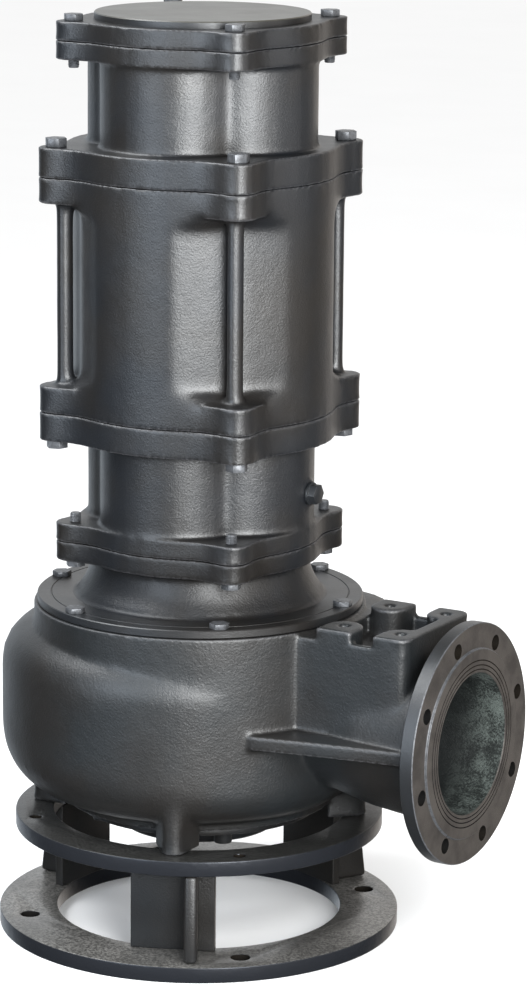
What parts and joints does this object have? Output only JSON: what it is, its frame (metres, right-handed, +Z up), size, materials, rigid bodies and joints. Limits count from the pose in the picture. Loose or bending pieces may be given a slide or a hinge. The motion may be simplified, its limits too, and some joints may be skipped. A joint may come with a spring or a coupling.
{
  "type": "grinder pump",
  "caption": "Submersible grinder pump with a spiral casing, a flanged side outlet and a tall sealed motor, standing on a welded ring stand.",
  "frame": {"origin": "on the floor, at the middle of the pump's bounding box", "axes": "+Z up along the motor, +X out of the discharge flange"},
  "size_m": [0.7424, 0.63, 1.3176],
  "materials": {
    "casing_paint": "semi-gloss dark grey paint over rough casting",
    "housing_paint": "semi-gloss dark grey paint over fine casting",
    "ring_paint": "worn dark grey paint on plate",
    "machined_iron": "turned, slightly tarnished",
    "bright_steel": "turned steel"
  },
  "bodies": {
    "root": {"base_ring": "ring_paint", "leg_plate_1": "ring_paint", "leg_plate_2": "ring_paint", "leg_plate_3": "ring_paint", "leg_rib_1": "ring_paint", "leg_rib_2": "ring_paint", "leg_rib_3": "ring_paint", "stand_top_ring": "ring_paint", "volute_casing": "casing_paint", "casing_cover": "casing_paint", "suction_cover": "casing_paint", "seal_housing": "housing_paint", "oil_plug": "housing_paint", "motor_body": "housing_paint", "terminal_housing": "housing_paint", "top_cover": "housing_paint", "discharge_flange": "machined_iron", "wear_plate": "machined_iron", "cutter_ring": "machined_iron", "impeller": "machined_iron", "cable_gland_power": "machined_iron", "cable_gland_control": "machined_iron", "shaft": "bright_steel", "cutter_head": "bright_steel"}
  },
  "joints": []
}
